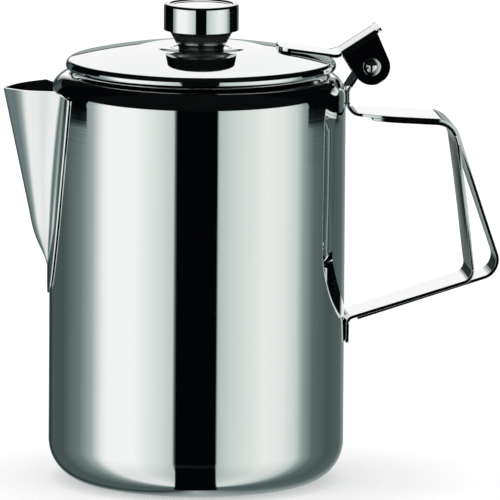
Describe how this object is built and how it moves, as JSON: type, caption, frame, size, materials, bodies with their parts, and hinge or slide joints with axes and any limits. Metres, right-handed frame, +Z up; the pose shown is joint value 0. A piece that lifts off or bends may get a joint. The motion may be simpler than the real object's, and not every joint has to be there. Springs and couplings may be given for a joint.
{
  "type": "coffee pot",
  "caption": "Stainless-steel coffee pot with a straight drawn body, a pressed spout with a flange, a hinged lid with a thumb lever and a round knob, and a handle of two bent steel straps",
  "frame": {"origin": "middle of the base, on the table", "axes": "+X from the spout to the handle, +Y away from the viewer of the picture, +Z up"},
  "size_m": [0.1886, 0.112, 0.1823],
  "materials": {
    "polished_steel": "mirror-polished stainless sheet",
    "turned_steel": "turned stainless bar, bright"
  },
  "bodies": {
    "pot": {"body_shell": "polished_steel", "spout": "polished_steel", "handle_outer_strap": "polished_steel", "handle_inner_strap": "polished_steel"},
    "lid": {"lid_shell": "polished_steel", "lid_lever": "polished_steel", "hinge_rivet": "turned_steel", "hinge_washers": "turned_steel", "knob_cap": "polished_steel", "knob_stem": "turned_steel", "knob_washer": "turned_steel", "knob_screw": "turned_steel"}
  },
  "joints": [
    {"name": "lid_hinge", "type": "hinge", "parent": "pot", "child": "lid", "pos_m": [0.0652, 0, 0.1586], "axis": [0, 1, 0], "range_deg": [0, 100]}
  ]
}
